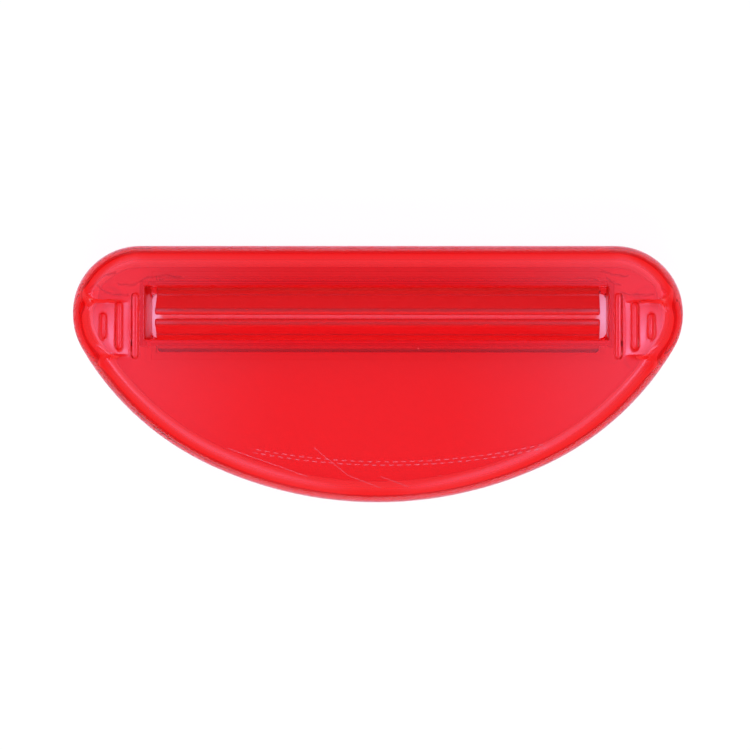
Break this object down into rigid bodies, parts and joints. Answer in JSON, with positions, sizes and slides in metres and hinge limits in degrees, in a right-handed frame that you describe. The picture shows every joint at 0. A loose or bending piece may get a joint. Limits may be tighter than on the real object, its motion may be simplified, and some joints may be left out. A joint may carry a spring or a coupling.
{
  "type": "toothpaste tube squeezer",
  "caption": "Half-moon toothpaste tube squeezer in clear red plastic: slide it on the tail of a tube, and two sloping sprung lips in the slot press the tube flat.",
  "frame": {"origin": "centre of the back of the bounding box; the part lies on its back cover, face up", "axes": "+X along the slot and the straight edge, +Y from the curved edge to the straight edge, +Z out of the face"},
  "size_m": [0.108, 0.0452, 0.0134],
  "materials": {
    "clear_red": "clear tinted polystyrene, gloss",
    "deep_red": "clear tinted polypropylene, gloss"
  },
  "bodies": {
    "housing": {"front_shell": "clear_red", "back_cover": "clear_red"},
    "upper_lip_body": {"upper_lip": "deep_red"},
    "lower_lip_body": {"lower_lip": "deep_red"}
  },
  "joints": [
    {"name": "upper_lip_flex", "type": "hinge", "parent": "housing", "child": "upper_lip_body", "pos_m": [0, 0.01635, 0.0031], "axis": [-1, 0, 0], "range_deg": [0, 6], "stiffness_Nm_per_rad": 0.02},
    {"name": "lower_lip_flex", "type": "hinge", "parent": "housing", "child": "lower_lip_body", "pos_m": [0, 0.00495, 0.0031], "axis": [1, 0, 0], "range_deg": [0, 6], "stiffness_Nm_per_rad": 0.02}
  ]
}
